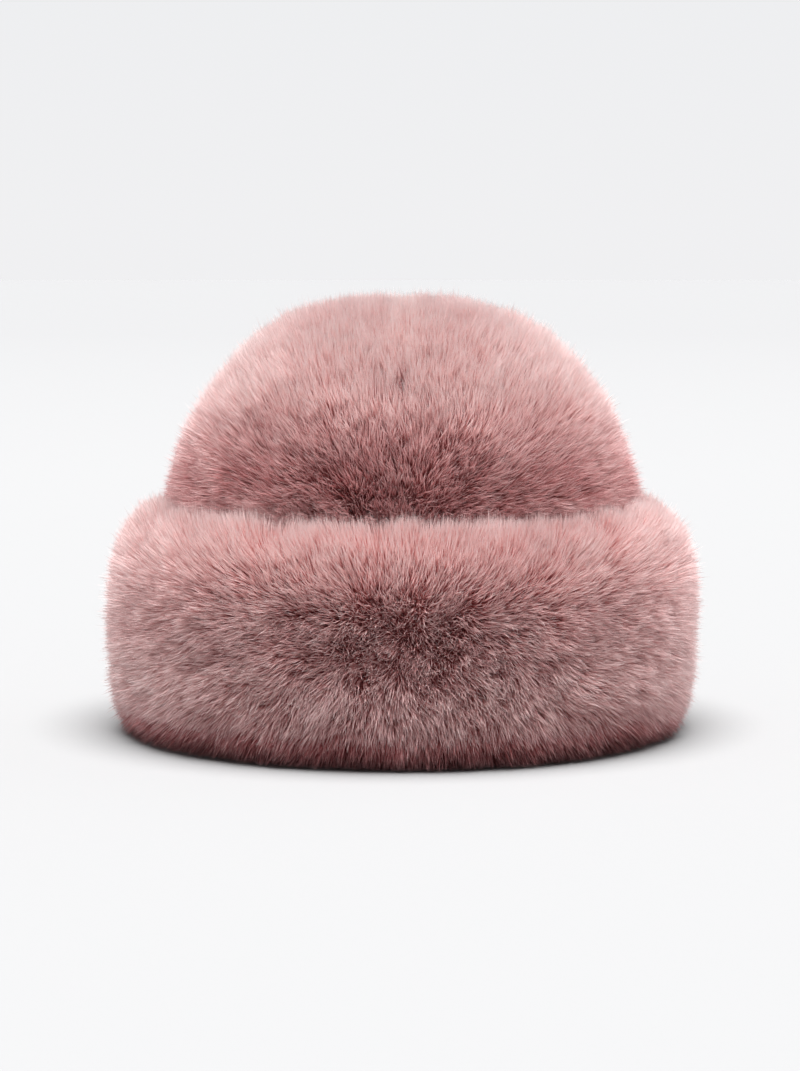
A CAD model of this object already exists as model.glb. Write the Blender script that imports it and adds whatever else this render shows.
import itertools
import math

import bmesh
import bpy
import numpy as np
from mathutils import Matrix, Vector


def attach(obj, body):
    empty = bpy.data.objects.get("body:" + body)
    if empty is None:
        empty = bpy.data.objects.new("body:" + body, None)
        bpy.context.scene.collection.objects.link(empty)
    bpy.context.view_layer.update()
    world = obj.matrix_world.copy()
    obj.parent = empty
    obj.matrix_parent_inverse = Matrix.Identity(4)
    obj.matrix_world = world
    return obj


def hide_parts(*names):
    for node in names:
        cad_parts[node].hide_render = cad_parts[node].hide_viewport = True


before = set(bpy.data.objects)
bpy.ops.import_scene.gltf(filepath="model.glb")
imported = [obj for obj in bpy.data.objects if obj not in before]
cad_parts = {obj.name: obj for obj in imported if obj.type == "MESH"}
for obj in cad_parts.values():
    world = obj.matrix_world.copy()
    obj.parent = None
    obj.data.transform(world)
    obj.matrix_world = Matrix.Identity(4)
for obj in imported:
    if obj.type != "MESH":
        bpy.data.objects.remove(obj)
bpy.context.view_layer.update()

# Camera
# A long lens at about one and a half metres, a little above the crown and tipped down to the hat's middle.
CAMERA_PLACE = Vector((-0.0012, -1.550, 0.2385))
CAMERA_TIP = math.radians(5.44)
LENS_MM = 110.8

lens = bpy.data.cameras.new("photo_camera")
lens.lens = LENS_MM
camera = bpy.data.objects.new("photo_camera", lens)
camera.location = CAMERA_PLACE
camera.rotation_euler = (math.pi / 2 - CAMERA_TIP, 0.0, 0.0)
bpy.context.scene.collection.objects.link(camera)
bpy.context.scene.camera = camera

# Crown
# Two panels of long-pile faux fur, sewn together front to back over the top, with a hem down inside the cuff.
# Every hair is rooted in the knitted backing, leans with its neighbours, and is paler towards its tip.
DEPTH_OVER_WIDTH = 1.04
HEAD_RADIUS = 0.0895
PILE = 0.0165
CROWN_TIP_RADIUS = 0.1165
CROWN_TIP_HEIGHT = 0.205
DOME_START = 0.05
DOME_SHOULDER, DOME_SIDE = 2.79, 2.60  # 2 is an ellipse, more is squarer
CROWN_FUR_FOOT = 0.098
INNER_TOP, INNER_DOME_RADIUS, INNER_DOME_FOOT = 0.1825, 0.0930, 0.107
HEM_OUTSIDE, HEM_TOP, HEM_BOTTOM = 0.0938, 0.096, 0.0068
CROWN_HAIRS = 165_000
HAIR_WIDTH, FINEST_HAIR, THICKEST_HAIR = 0.00038, 0.6, 1.1
GOLDEN_TURN = math.pi * (3 - math.sqrt(5))
BEARING_SPREAD = 0.02

chance = np.random.default_rng(5).random((40, 40, 40, 4), dtype=np.float32)


def unit(vectors):
    """The vectors, each made one metre long."""
    return vectors / np.linalg.norm(vectors, axis=1, keepdims=True)


def within(vectors, normals):
    """What is left of the vectors in the surface that has these normals."""
    return vectors - normals * (vectors * normals).sum(1, keepdims=True)


def drift(points, size):
    """Smooth directions, -1 to 1, that change over about size."""
    place = points / size
    cell = np.floor(place).astype(int)
    part = place - cell
    part = part * part * (3 - 2 * part)
    total = np.zeros_like(points)
    for corner in itertools.product((0, 1), repeat=3):
        weight = np.prod(np.where(corner, part, 1 - part), axis=1, keepdims=True)
        index = (cell + corner) % len(chance)
        total += weight * chance[index[:, 0], index[:, 1], index[:, 2], :3]
    return 2 * total - 1


def wisps(points, size):
    """The middle of the wisp that each point belongs to, and the wisp's own chance, 0 to 1."""
    cell = np.floor(points / size).astype(int)
    nearest = np.full(len(points), np.inf, np.float32)
    middle = np.zeros_like(points)
    luck = np.zeros(len(points), np.float32)
    for step in itertools.product((-1, 0, 1), repeat=3):
        there = cell + step
        index = there % len(chance)
        found = chance[index[:, 0], index[:, 1], index[:, 2]]
        candidate = ((there + found[:, :3]) * size).astype(np.float32)
        distance = ((candidate - points) ** 2).sum(1)
        closer = distance < nearest
        nearest[closer] = distance[closer]
        middle[closer] = candidate[closer]
        luck[closer] = found[closer, 3]
    return middle, luck


def scatter(outline, count, seed):
    """Even roots on an outline turned about Z and made oval: their places and normals."""
    draw = np.random.default_rng(seed)
    across, up = np.array(outline, float).T
    steps = np.hypot(np.diff(across), np.diff(up))
    area = np.concatenate([[0.0], np.cumsum(steps * (across[1:] + across[:-1]) / 2)])
    wanted = (np.arange(count) + draw.random(count)) / count * area[-1]
    along = np.interp(wanted, area, np.arange(len(across)))
    index = np.arange(len(across))
    slope_across, slope_up = np.gradient(across), np.gradient(up)
    radius, height = np.interp(along, index, across), np.interp(along, index, up)
    out, rise = -np.interp(along, index, slope_up), np.interp(along, index, slope_across)
    bearing = np.arange(count) * GOLDEN_TURN + draw.normal(0.0, BEARING_SPREAD, count)
    x, y = np.sin(bearing), -np.cos(bearing)
    root = np.stack([radius * x, radius * y * DEPTH_OVER_WIDTH, height], 1)
    normal = unit(np.stack([out * x, out * y / DEPTH_OVER_WIDTH, rise], 1))
    return root.astype(np.float32), normal.astype(np.float32)


SWIRL, SWIRL_SIZE = 0.20, 0.028
RUFFLE, RUFFLE_SIZE = 0.22, 0.007
STRAY = 0.17
LENGTH_SPREAD = 0.07
LONG_SHARE, LONG_HAIR = 0.05, 1.15
BILLOW, BILLOW_SIZE = 0.08, 0.012
# Rows of a wisp's or lock's size, how far its tips draw together, and how much they share their tone.
GATHERINGS = ((0.0014, 0.36, 0.14), (0.0060, 0.12, 0.12))
GATHER_RISE = 0.35
BEND_AT, BEND_GATHER = 0.6, 0.3
CURL, CURL_SIZE = 0.0013, 0.0055
LOWEST_BEND, LOWEST_TIP = 0.0012, 0.0006
CALMING = 0.65
TONES = 32
DEEP_SHARE = 0.3  # the share of the tones that are darker than the darkest plain hair
MIDDLE_TONE, SHADE_REACH, HAIR_TONE = 0.65, 0.80, 0.12
PATCH_TONE, PATCH_SIZE = 0.05, 0.045
TUFT_TONE, TUFT_SIZE = 0.10, 0.011


def grow_fur(name, root, normal, length, comb, shade, calm, seed):
    """One mesh of many hairs. Each is a ribbon with one bend, and the pile gathers into wisps at its tips.

    Comb leans the hairs. Shade, above or below 0, makes them paler or darker. Calm makes the pile more even
    above 0, and rougher below it.
    """
    draw = np.random.default_rng(seed)
    count = len(root)
    loose = (1 - CALMING * calm).astype(np.float32)
    stray = draw.normal(0.0, STRAY, (count, 3)).astype(np.float32) * np.sqrt(loose)[:, None]
    lean = comb + SWIRL * drift(root, SWIRL_SIZE) + RUFFLE * drift(root, RUFFLE_SIZE) + stray
    way = unit(normal + within(lean, normal))
    reach = length * (1 + LENGTH_SPREAD * draw.normal(0.0, 1.0, count)).astype(np.float32)
    reach *= np.where(draw.random(count) < LONG_SHARE, LONG_HAIR, 1.0).astype(np.float32)
    reach *= 1 + BILLOW * drift(root, BILLOW_SIZE)[:, 1]
    tip = root + way * reach[:, None]
    gather = np.zeros_like(tip)
    tone = HAIR_TONE * draw.normal(0.0, 1.0, count)
    for size, pull, say in GATHERINGS:
        middle, luck = wisps(tip, size)
        gather += pull * within(middle - tip, normal) + normal * ((luck - 0.5) * size * GATHER_RISE)[:, None]
        tone += say * (luck - 0.5)
    gather *= loose[:, None]
    tone = MIDDLE_TONE + SHADE_REACH * shade + tone * loose
    tone += PATCH_TONE * drift(root, PATCH_SIZE)[:, 0] + TUFT_TONE * loose * drift(root, TUFT_SIZE)[:, 0]
    curl = within(CURL * loose[:, None] * drift(root, CURL_SIZE), normal)
    bend = root + way * (reach * BEND_AT)[:, None] + BEND_GATHER * gather + curl
    tip = tip + gather
    bend[:, 2] = np.maximum(bend[:, 2], LOWEST_BEND)
    tip[:, 2] = np.maximum(tip[:, 2], LOWEST_TIP)
    side = unit(np.cross(way, draw.normal(0.0, 1.0, (count, 3)))).astype(np.float32)
    half = side * (HAIR_WIDTH * draw.uniform(FINEST_HAIR, THICKEST_HAIR, count) / 2)[:, None]
    points = np.stack([root, bend - half, bend + half, tip], 1)
    first = 4 * np.arange(count)[:, None]
    corners = (first + [0, 2, 1, 1, 2, 3]).ravel()
    starts = 3 * np.arange(2 * count)
    tone = DEEP_SHARE + np.where(tone < 0, DEEP_SHARE, 1 - DEEP_SHARE) * tone
    column = np.clip((tone * TONES).astype(int), 0, TONES - 1)[:, None]
    u = (column + np.array([0.5, 0.9, 0.1, 0.1, 0.9, 0.5])) / TONES
    v = np.broadcast_to([0.0, BEND_AT, BEND_AT, BEND_AT, BEND_AT, 1.0], u.shape)
    mesh = bpy.data.meshes.new(name)
    mesh.vertices.add(4 * count)
    mesh.vertices.foreach_set("co", points.astype(np.float32).ravel())
    mesh.loops.add(6 * count)
    mesh.loops.foreach_set("vertex_index", corners.astype(np.int32))
    mesh.polygons.add(2 * count)
    mesh.polygons.foreach_set("loop_start", starts.astype(np.int32))
    layer = mesh.uv_layers.new(name="OFBake")
    layer.uv.foreach_set("vector", np.stack([u, v], 2).astype(np.float32).ravel())
    mesh.update()
    obj = bpy.data.objects.new(name, mesh)
    bpy.context.scene.collection.objects.link(obj)
    return obj


def colour_ramp(nodes, links, value, stops):
    """A colour ramp with these stops, driven by the value."""
    ramp = nodes.new("ShaderNodeValToRGB")
    elements = ramp.color_ramp.elements
    while len(elements) < len(stops):
        elements.new(0.5)
    for element, (position, colour) in zip(elements, stops):
        element.position = position
        element.color = (*colour, 1.0)
    links.new(value, ramp.inputs[0])
    return ramp.outputs[0]


def mixed(nodes, links, blend, factor, first, second):
    """Two colours mixed with this blend mode, by the factor or, where it is None, in full."""
    mix = nodes.new("ShaderNodeMix")
    mix.data_type = "RGBA"
    mix.blend_type = blend
    if factor is None:
        mix.inputs[0].default_value = 1.0
    else:
        links.new(factor, mix.inputs[0])
    links.new(first, mix.inputs[6])
    links.new(second, mix.inputs[7])
    return mix.outputs[2]


BLACK, WHITE = (0.0, 0.0, 0.0), (1.0, 1.0, 1.0)
# Rows of how far up the hair, and its colour there.
CROWN_DARK_HAIR = (
    (0.0, (0.15, 0.011, 0.011)),
    (0.45, (0.34, 0.058, 0.058)),
    (0.8, (0.54, 0.20, 0.20)),
    (1.0, (0.67, 0.40, 0.40)),
)
CROWN_PALE_HAIR = (
    (0.0, (0.46, 0.060, 0.057)),
    (0.4, (0.73, 0.355, 0.34)),
    (0.75, (0.92, 0.73, 0.71)),
    (1.0, (0.86, 0.79, 0.78)),
)
DEEPEST = (0.27, 0.30, 0.30)
LIGHT_THROUGH = 0.22


def fur_material(name, dark_hair, pale_hair):
    """Hair that is deep pink at its root and pale at its tip. U is its own tone, and V runs up the hair."""
    material = bpy.data.materials.new(name)
    material.use_nodes = True
    nodes, links = material.node_tree.nodes, material.node_tree.links
    shader = nodes["Principled BSDF"]
    place = nodes.new("ShaderNodeUVMap")
    place.uv_map = "OFBake"
    split = nodes.new("ShaderNodeSeparateXYZ")
    links.new(place.outputs["UV"], split.inputs[0])
    own_tone, up_hair = split.outputs["X"], split.outputs["Y"]
    paleness = colour_ramp(nodes, links, own_tone, ((DEEP_SHARE, BLACK), (1.0, WHITE)))
    depth = colour_ramp(nodes, links, own_tone, ((0.0, DEEPEST), (DEEP_SHARE, WHITE)))
    dark = colour_ramp(nodes, links, up_hair, dark_hair)
    pale = colour_ramp(nodes, links, up_hair, pale_hair)
    plain = mixed(nodes, links, "MIX", paleness, dark, pale)
    hair = mixed(nodes, links, "MULTIPLY", None, plain, depth)
    links.new(hair, shader.inputs["Base Color"])
    shader.inputs["Roughness"].default_value = 0.55
    shader.inputs["Specular IOR Level"].default_value = 0.02
    through = nodes.new("ShaderNodeBsdfTranslucent")
    links.new(hair, through.inputs["Color"])
    both = nodes.new("ShaderNodeMixShader")
    both.inputs[0].default_value = LIGHT_THROUGH
    links.new(shader.outputs[0], both.inputs[1])
    links.new(through.outputs[0], both.inputs[2])
    links.new(both.outputs[0], nodes["Material Output"].inputs["Surface"])
    return material


def dome(radius, top, foot, count=40):
    """The dome's outline from the middle of its top down to foot."""
    last = math.acos(((foot - DOME_START) / (top - DOME_START)) ** (DOME_SHOULDER / 2))
    turns = np.linspace(0.0, last, count)
    across = radius * np.sin(turns) ** (2 / DOME_SIDE)
    up = DOME_START + (top - DOME_START) * np.cos(turns) ** (2 / DOME_SHOULDER)
    return list(zip(across, up))


HALF_TURN_STEPS = 32
SAME_PLACE = 1e-6


def turn_about(name, section, material, side=0):
    """A closed section turned about Z and made oval: side 1 or -1 makes the half at +X or -X, 0 the whole."""
    shape = bmesh.new()
    half = bool(side)
    line = [shape.verts.new((0.0, -across, up)) for across, up in section]
    edges = [shape.edges.new(pair) for pair in zip(line, line[1:] + line[:1])]
    if half:
        front_end = shape.faces.new(line)
        copied = bmesh.ops.duplicate(shape, geom=[front_end])["geom"]
        back_end = next(item for item in copied if isinstance(item, bmesh.types.BMFace))
        bmesh.ops.rotate(shape, verts=back_end.verts, cent=(0, 0, 0), matrix=Matrix.Rotation(math.pi, 3, "Z"))
    bmesh.ops.spin(
        shape, geom=line + edges, cent=(0, 0, 0), axis=(0, 0, 1), dvec=(0, 0, 0),
        angle=math.pi * (side or 2), steps=HALF_TURN_STEPS * (1 if half else 2), use_merge=not half,
    )
    bmesh.ops.remove_doubles(shape, verts=shape.verts, dist=SAME_PLACE)
    bmesh.ops.scale(shape, vec=(1.0, DEPTH_OVER_WIDTH, 1.0), verts=shape.verts)
    bmesh.ops.recalc_face_normals(shape, faces=shape.faces)
    mesh = bpy.data.meshes.new(name)
    shape.to_mesh(mesh)
    shape.free()
    mesh.shade_smooth()
    mesh.materials.append(material)
    obj = bpy.data.objects.new(name, mesh)
    bpy.context.scene.collection.objects.link(obj)
    return obj


LOOPS_A_METRE = (560.0, 560.0, 400.0)
# Rows of how far from the middle of a loop, and its colour there.
LOOP_COLOURS = ((0.0, (0.44, 0.19, 0.18)), (0.45, (0.34, 0.135, 0.13)), (0.8, (0.19, 0.065, 0.062)))
PATCH_COLOURS = ((0.3, (0.82, 0.80, 0.80)), (0.7, WHITE))
PATCHES_A_METRE = 60.0
LOOP_DEPTH = 0.0004


def knitted_material(name):
    """The backing's knit: small upright loops with dark gaps between them, in slightly uneven patches."""
    material = bpy.data.materials.new(name)
    material.use_nodes = True
    nodes, links = material.node_tree.nodes, material.node_tree.links
    shader = nodes["Principled BSDF"]
    place = nodes.new("ShaderNodeTexCoord")
    stretch = nodes.new("ShaderNodeVectorMath")
    stretch.operation = "MULTIPLY"
    stretch.inputs[1].default_value = LOOPS_A_METRE
    links.new(place.outputs["Object"], stretch.inputs[0])
    loops = nodes.new("ShaderNodeTexVoronoi")
    loops.inputs["Scale"].default_value = 1.0
    loops.inputs["Randomness"].default_value = 0.6
    links.new(stretch.outputs[0], loops.inputs["Vector"])
    patches = nodes.new("ShaderNodeTexNoise")
    patches.inputs["Scale"].default_value = PATCHES_A_METRE
    links.new(place.outputs["Object"], patches.inputs["Vector"])
    yarn = colour_ramp(nodes, links, loops.outputs["Distance"], LOOP_COLOURS)
    uneven = colour_ramp(nodes, links, patches.outputs[0], PATCH_COLOURS)
    links.new(mixed(nodes, links, "MULTIPLY", None, yarn, uneven), shader.inputs["Base Color"])
    bump = nodes.new("ShaderNodeBump")
    bump.invert = True
    bump.inputs["Strength"].default_value = 0.8
    bump.inputs["Distance"].default_value = LOOP_DEPTH
    links.new(loops.outputs["Distance"], bump.inputs["Height"])
    links.new(bump.outputs[0], shader.inputs["Normal"])
    shader.inputs["Roughness"].default_value = 0.9
    shader.inputs["Specular IOR Level"].default_value = 0.1
    return material


skin_material = knitted_material("fur_backing")
crown_skin_outline = dome(CROWN_TIP_RADIUS - PILE, CROWN_TIP_HEIGHT - PILE, CROWN_FUR_FOOT)
hem = [(HEM_OUTSIDE, HEM_TOP), (HEM_OUTSIDE, HEM_BOTTOM), (HEAD_RADIUS, HEM_BOTTOM)]
inner_dome = dome(INNER_DOME_RADIUS, INNER_TOP, INNER_DOME_FOOT)
crown_section = crown_skin_outline + hem + inner_dome[::-1]
for side, wearer_side in ((1, "left"), (-1, "right")):
    backing = turn_about(f"crown_backing_{wearer_side}", crown_section, skin_material, side)
    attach(backing, "root")
    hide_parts(f"crown_{wearer_side}")

# The seam parts the fur: pale over the top, and dark in two short slits in front.
SEAM_REACH, SLIT_REACH = 0.0035, 0.0010
SEAM_COMB, SLIT_COMB = 0.04, 0.15
PARTING_FOOT, PARTING_RISE = 0.168, 0.008
PARTING_SHADE, SLIT_SHADE = 1.4, -1.6
PARTING_SHORTER, SLIT_SHORTER = 0.06, 0.2
# Rows of a slit's height, half its length, and its depth.
SEAM_SLITS = ((0.157, 0.0045, 1.3), (0.136, 0.0030, 0.7))
# Rows of height, and the value there: how far the fur is combed up, how pale it is, and how even it lies.
CROWN_LIFT = ((0.098, 0.45), (0.110, 0.05), (0.114, 0.05), (0.150, 0.72), (0.180, 0.40))
CROWN_SHADE = ((0.105, -0.42), (0.118, -0.42), (0.135, -0.10), (0.150, 0.32), (0.170, 0.33), (0.190, 0.18))
CROWN_CALM = ((0.112, -1.3), (0.130, -0.6), (0.150, 0.35), (0.175, 1.0))


def by_height(heights, rows):
    """The value at each height, from rows of a height and the value there."""
    return np.interp(heights, *zip(*rows))


crown_fur_material = fur_material("crown_fur", CROWN_DARK_HAIR, CROWN_PALE_HAIR)
root, normal = scatter(crown_skin_outline, CROWN_HAIRS, seed=21)
for side, name in ((1, "crown_fur_left"), (-1, "crown_fur_right")):
    here = root[:, 0] * side > 0
    place, way = root[here], normal[here]
    up = place[:, 2]
    slit = sum(depth * np.exp(-(((up - height) / reach) ** 2)) for height, reach, depth in SEAM_SLITS)
    by_seam = np.exp(-((place[:, 0] / SEAM_REACH) ** 2))
    comb = np.zeros_like(place)
    comb[:, 0] = side * (SEAM_COMB + SLIT_COMB * slit) * by_seam
    comb[:, 2] = by_height(up, CROWN_LIFT)
    slit *= (place[:, 1] < 0) * np.exp(-((place[:, 0] / SLIT_REACH) ** 2))
    parting = by_seam * np.clip((up - PARTING_FOOT) / PARTING_RISE, 0, 1)
    length = PILE * (1 - PARTING_SHORTER * parting - SLIT_SHORTER * slit).astype(np.float32)
    shade = by_height(up, CROWN_SHADE) + PARTING_SHADE * parting + SLIT_SHADE * slit
    calm = np.maximum(slit, by_height(up, CROWN_CALM))
    piece = grow_fur(name, place, way, length, comb, shade, calm, seed=31 + side)
    piece.data.materials.append(crown_fur_material)
    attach(piece, "root")

# Cuff
# A wide band of the same faux fur, folded out at the hat's lower edge and turned up round the crown.
# It is sewn in at its inner edge and held up by its own thickness, and the hat stands on its fold.
CUFF_TIP_RADIUS = 0.140
CUFF_TIP_HEIGHT = 0.110
CREST_RADIUS = 0.113
SHOULDER_HEIGHT = 0.072
INNER_WALL = 0.0945
CUFF_HAIRS = 300_000
UNDERSIDE = 0.0025
CORNER_WIDTH, CORNER_HEIGHT = 0.014, 0.034
TOP_ROUNDING, FOLD_ROUNDING, FOLD_TOP = 0.003, 0.003, 0.006
WALL_STEP = 0.001
# Near the floor and the crown the fur is pushed outward, and along the crest it lies in waves.
PRESSED_HEIGHT, FLOOR_COMB = 0.015, 0.45
CROWD_RADIUS, CROWD_WIDTH, CROWN_COMB = 0.112, 0.02, 0.35
CREST_FOOT, CREST_RISE = 0.082, 0.008
CREST_SWIRL, CREST_SWIRL_SIZE = 0.35, 0.014
CREST_WAVE, CREST_WAVE_SIZE = 0.14, 0.010
# Rows of height, and the value there: how far the fur is combed up, its length, its paleness and its calm.
CUFF_LIFT = ((0.0, -0.80), (0.026, -0.42), (0.050, -0.10), (0.066, 0.12), (0.082, 0.64))
CUFF_LENGTH = ((UNDERSIDE, 0.86), (0.020, 1.0))
CUFF_SHADE = (
    (0.004, -2.4), (0.013, -1.72), (0.022, -0.10), (0.034, 0.13),
    (0.054, -0.03), (0.070, 0.03), (0.086, 0.32),
)
CUFF_CALM = ((0.010, 0.5), (0.040, 0.0), (0.070, 0.1), (0.088, 0.7))
CUFF_DARK_HAIR = (
    (0.0, (0.17, 0.010, 0.010)),
    (0.45, (0.385, 0.052, 0.052)),
    (0.8, (0.55, 0.20, 0.20)),
    (1.0, (0.66, 0.41, 0.41)),
)
CUFF_PALE_HAIR = (
    (0.0, (0.52, 0.050, 0.046)),
    (0.4, (0.75, 0.31, 0.295)),
    (0.75, (0.88, 0.68, 0.66)),
    (1.0, (0.86, 0.77, 0.76)),
)

turns = np.linspace(0.0, math.pi / 2, 24)
skin_radius, skin_top = CUFF_TIP_RADIUS - PILE, CUFF_TIP_HEIGHT - PILE
shoulder_width, shoulder_rise = skin_radius - CREST_RADIUS, skin_top - SHOULDER_HEIGHT
corner_rise = CORNER_HEIGHT - UNDERSIDE
flat_top = [(across, skin_top) for across in np.linspace(INNER_WALL + TOP_ROUNDING, CREST_RADIUS, 8)[:-1]]
shoulder = [
    (CREST_RADIUS + shoulder_width * math.sin(turn), SHOULDER_HEIGHT + shoulder_rise * math.cos(turn))
    for turn in turns
]
wall = [(skin_radius, up) for up in np.linspace(SHOULDER_HEIGHT, CORNER_HEIGHT, 12)[1:-1]]
corner = [
    (skin_radius - CORNER_WIDTH * (1 - math.cos(turn)), CORNER_HEIGHT - corner_rise * math.sin(turn))
    for turn in turns
]
cuff_fur_outline = flat_top + shoulder + wall + corner
inner_wall = [
    (HEAD_RADIUS + FOLD_ROUNDING, UNDERSIDE),
    (HEAD_RADIUS, FOLD_TOP),
    (INNER_WALL, FOLD_TOP + WALL_STEP),
    (INNER_WALL, skin_top - TOP_ROUNDING - WALL_STEP),
]
cuff_core = turn_about("cuff_core", cuff_fur_outline + inner_wall, skin_material)
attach(cuff_core, "root")
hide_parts("cuff")

cuff_fur_material = fur_material("cuff_fur", CUFF_DARK_HAIR, CUFF_PALE_HAIR)
root, normal = scatter(cuff_fur_outline, CUFF_HAIRS, seed=22)
angle = np.degrees(np.arctan2(root[:, 0], -root[:, 1]))
quarter = np.floor(((angle + 45) % 360) / 90).astype(int)
for number, name in enumerate(("cuff_fur_front", "cuff_fur_left", "cuff_fur_back", "cuff_fur_right")):
    place, way = root[quarter == number], normal[quarter == number]
    up = place[:, 2]
    near_floor = np.clip((PRESSED_HEIGHT - up) / PRESSED_HEIGHT, 0, 1)
    near_crown = np.clip((CROWD_RADIUS - np.hypot(place[:, 0], place[:, 1])) / CROWD_WIDTH, 0, 1)
    crest = np.clip((up - CREST_FOOT) / CREST_RISE, 0, 1)
    comb = unit(place * [1, 1, 0]) * (FLOOR_COMB * near_floor + CROWN_COMB * near_crown)[:, None]
    comb += CREST_SWIRL * crest[:, None] * drift(place, CREST_SWIRL_SIZE)
    comb[:, 2] += by_height(up, CUFF_LIFT)
    wave = CREST_WAVE * crest * drift(place, CREST_WAVE_SIZE)[:, 0]
    length = PILE * by_height(up, CUFF_LENGTH) * (1 + wave)
    length, comb = length.astype(np.float32), comb.astype(np.float32)
    shade, calm = by_height(up, CUFF_SHADE), by_height(up, CUFF_CALM)
    piece = grow_fur(name, place, way, length, comb, shade, calm, seed=41 + number)
    piece.data.materials.append(cuff_fur_material)
    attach(piece, "root")

# Underside of the cuff
# The cuff's fur goes on under the hat as far as the fold.
# The hat's weight presses it flat and outward.
UNDERSIDE_HAIRS = 14_000
UNDERSIDE_PILE, BARE_FOLD = 0.0075, 0.004
UNDERSIDE_COMB, UNDERSIDE_SHADE = 2.2, -0.2

fold_outline = [(cuff_fur_outline[-1][0], UNDERSIDE), (HEAD_RADIUS + BARE_FOLD, UNDERSIDE)]
root, normal = scatter(fold_outline, UNDERSIDE_HAIRS, seed=23)
comb = (UNDERSIDE_COMB * unit(root * [1, 1, 0])).astype(np.float32)
length = np.full(len(root), UNDERSIDE_PILE, np.float32)
shade = np.full(len(root), UNDERSIDE_SHADE, np.float32)
calm = np.zeros(len(root), np.float32)
piece = grow_fur("cuff_fur_underside", root, normal, length, comb, shade, calm, seed=51)
piece.data.materials.append(cuff_fur_material)
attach(piece, "root")

# Studio
# A pale matt floor that fades a little towards its far edge, under a pale sky that is dimmer in front.
# One broad light hangs overhead, and a faint one lights the rims at the right and behind.
FLOOR_NEAR, FLOOR_FAR = (0.325, 0.325, 0.328), (0.3075, 0.3075, 0.3115)
FADE_FROM, FADE_TO = 1.6, 5.5
FLOOR_REACH = 12.0
# Rows of how steeply a direction points up, and the sky's colour there.
SKY = (
    (0.0, (0.872, 0.872, 0.885)),
    (0.07, (0.855, 0.860, 0.875)),
    (0.25, (0.750, 0.750, 0.760)),
    (0.5, (0.300, 0.300, 0.305)),
)
# Rows from 0, straight in front of the hat, to 1, straight behind it, and the sky's share there.
SKY_DIMMING = ((0.1, (0.80, 0.80, 0.80)), (0.4, WHITE))

floor_material = bpy.data.materials.new("pale_floor")
floor_material.use_nodes = True
nodes, links = floor_material.node_tree.nodes, floor_material.node_tree.links
place = nodes.new("ShaderNodeTexCoord")
distance = nodes.new("ShaderNodeVectorMath")
distance.operation = "LENGTH"
links.new(place.outputs["Object"], distance.inputs[0])
fade = nodes.new("ShaderNodeMapRange")
fade.inputs["From Min"].default_value = FADE_FROM
fade.inputs["From Max"].default_value = FADE_TO
links.new(distance.outputs["Value"], fade.inputs["Value"])
tint = nodes.new("ShaderNodeMix")
tint.data_type = "RGBA"
tint.inputs[6].default_value = (*FLOOR_NEAR, 1.0)
tint.inputs[7].default_value = (*FLOOR_FAR, 1.0)
links.new(fade.outputs["Result"], tint.inputs[0])
shader = nodes["Principled BSDF"]
links.new(tint.outputs[2], shader.inputs["Base Color"])
shader.inputs["Roughness"].default_value = 0.9
shader.inputs["Specular IOR Level"].default_value = 0.0
floor_mesh = bpy.data.meshes.new("floor")
shape = bmesh.new()
bmesh.ops.create_grid(shape, x_segments=1, y_segments=1, size=FLOOR_REACH)
shape.to_mesh(floor_mesh)
shape.free()
floor_mesh.materials.append(floor_material)
floor = bpy.data.objects.new("floor", floor_mesh)
bpy.context.scene.collection.objects.link(floor)

world = bpy.data.worlds.new("studio")
bpy.context.scene.world = world
world.use_nodes = True
nodes, links = world.node_tree.nodes, world.node_tree.links
direction = nodes.new("ShaderNodeTexCoord")
split = nodes.new("ShaderNodeSeparateXYZ")
links.new(direction.outputs["Generated"], split.inputs[0])
sky = colour_ramp(nodes, links, split.outputs["Z"], SKY)
behind = nodes.new("ShaderNodeMath")
behind.operation = "MULTIPLY_ADD"
behind.inputs[1].default_value = 0.5
behind.inputs[2].default_value = 0.5
links.new(split.outputs["Y"], behind.inputs[0])
dimming = colour_ramp(nodes, links, behind.outputs[0], SKY_DIMMING)
links.new(mixed(nodes, links, "MULTIPLY", None, sky, dimming), nodes["Background"].inputs["Color"])


def soft_sun(name, bearing, height, energy, spread):
    """An even light from far away: its bearing from the front and its height above the floor, in degrees."""
    light = bpy.data.lights.new(name, "SUN")
    light.energy = energy
    light.angle = math.radians(spread)
    turn, lift = math.radians(bearing), math.radians(height)
    toward = Vector((math.sin(turn) * math.cos(lift), -math.cos(turn) * math.cos(lift), math.sin(lift)))
    obj = bpy.data.objects.new(name, light)
    obj.rotation_euler = toward.to_track_quat("Z", "Y").to_euler()
    bpy.context.scene.collection.objects.link(obj)


soft_sun("overhead_light", bearing=10, height=81, energy=7.95, spread=52)
soft_sun("right_rim_light", bearing=125, height=30, energy=0.2, spread=50)

bpy.context.scene.view_settings.view_transform = "Standard"
